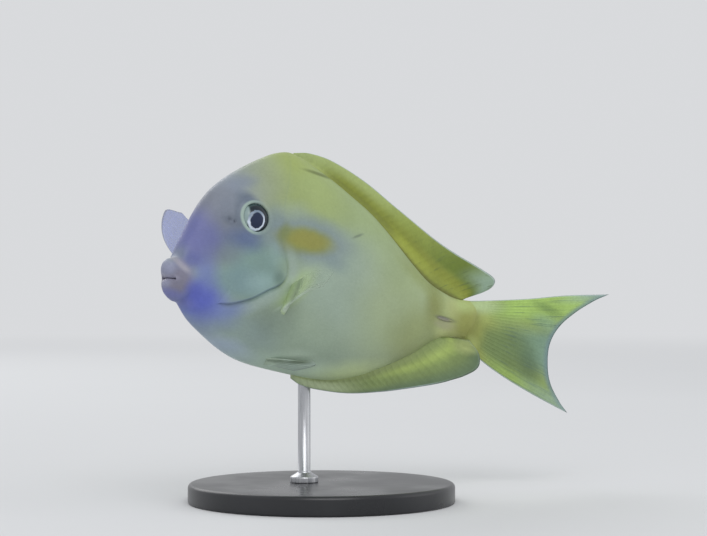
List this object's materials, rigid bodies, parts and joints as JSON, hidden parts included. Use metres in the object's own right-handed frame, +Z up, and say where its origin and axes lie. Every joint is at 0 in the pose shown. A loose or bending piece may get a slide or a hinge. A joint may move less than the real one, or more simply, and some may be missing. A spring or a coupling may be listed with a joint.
{
  "type": "orangeshoulder tang model on a stand",
  "caption": "Life-size young orangeshoulder tang swimming nose-up with its tail swung to one side, held by a short rod on a round base.",
  "frame": {"origin": "centre of the round base's underside, under the fish's middle", "axes": "-X the way the fish's head points, -Y its left side, +Z up"},
  "size_m": [0.1404, 0.068, 0.0888],
  "materials": {
    "skin": "yellow-green finely scaled skin with an orange shoulder bar",
    "face": "blue-violet to green-grey smooth skin of the head",
    "lip": "dull pink-tan lips",
    "fin": "yellow rayed fin with a pale edge",
    "clear_fin": "nearly clear rayed fin, bluish, yellow at the root",
    "eye": "glossy dark eye with a white ring",
    "blade": "pale folded blade on the tail stalk",
    "base": "satin black acrylic disc",
    "rod": "brushed stainless rod"
  },
  "bodies": {
    "root": {"head": "face", "lips": "lip", "trunk": "skin", "tail_stalk": "skin", "eye_left": "eye", "eye_right": "eye", "dorsal_fin": "fin", "anal_fin": "fin", "tail_fin_upper": "fin", "tail_fin_lower": "fin", "pectoral_fin_left": "clear_fin", "pectoral_fin_right": "clear_fin", "pelvic_fin_left": "clear_fin", "pelvic_fin_right": "clear_fin", "tail_blade_left": "blade", "tail_blade_right": "blade", "stand_base": "base", "stand_rod": "rod"}
  },
  "joints": []
}
